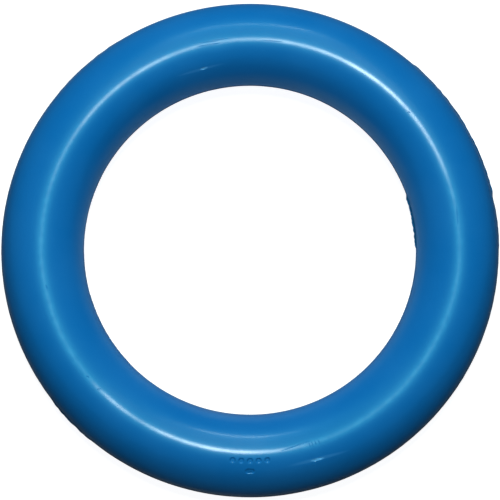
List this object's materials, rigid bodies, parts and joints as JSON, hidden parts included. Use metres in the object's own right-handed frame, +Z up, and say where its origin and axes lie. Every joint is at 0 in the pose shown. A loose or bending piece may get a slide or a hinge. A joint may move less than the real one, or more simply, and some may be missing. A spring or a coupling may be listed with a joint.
{
  "type": "air-filled flying ring",
  "caption": "Soft, glossy throwing ring of round section for ring tennis and tossing games, moulded hollow in two halves and filled through a stoppered air valve.",
  "frame": {"origin": "on the ring's axis, level with the lower crest circle that the ring lies on", "axes": "+Z up along the ring's axis; -Y towards the moulded mark; +Y towards the air valve"},
  "size_m": [0.1802, 0.1802, 0.0298],
  "materials": {
    "vinyl": "gloss",
    "seam": "satin",
    "grommet": "satin",
    "stopper": "satin"
  },
  "bodies": {
    "ring": {"upper_shell": "vinyl", "lower_shell": "vinyl", "outer_seam_bead": "seam", "inner_seam_bead": "seam", "valve_body": "grommet"},
    "plug": {"valve_plug": "stopper"}
  },
  "joints": [
    {"name": "plug_pull", "type": "slide", "parent": "ring", "child": "plug", "axis": [0, -0.8988, -0.4384], "range_m": [0, 0.008]}
  ]
}
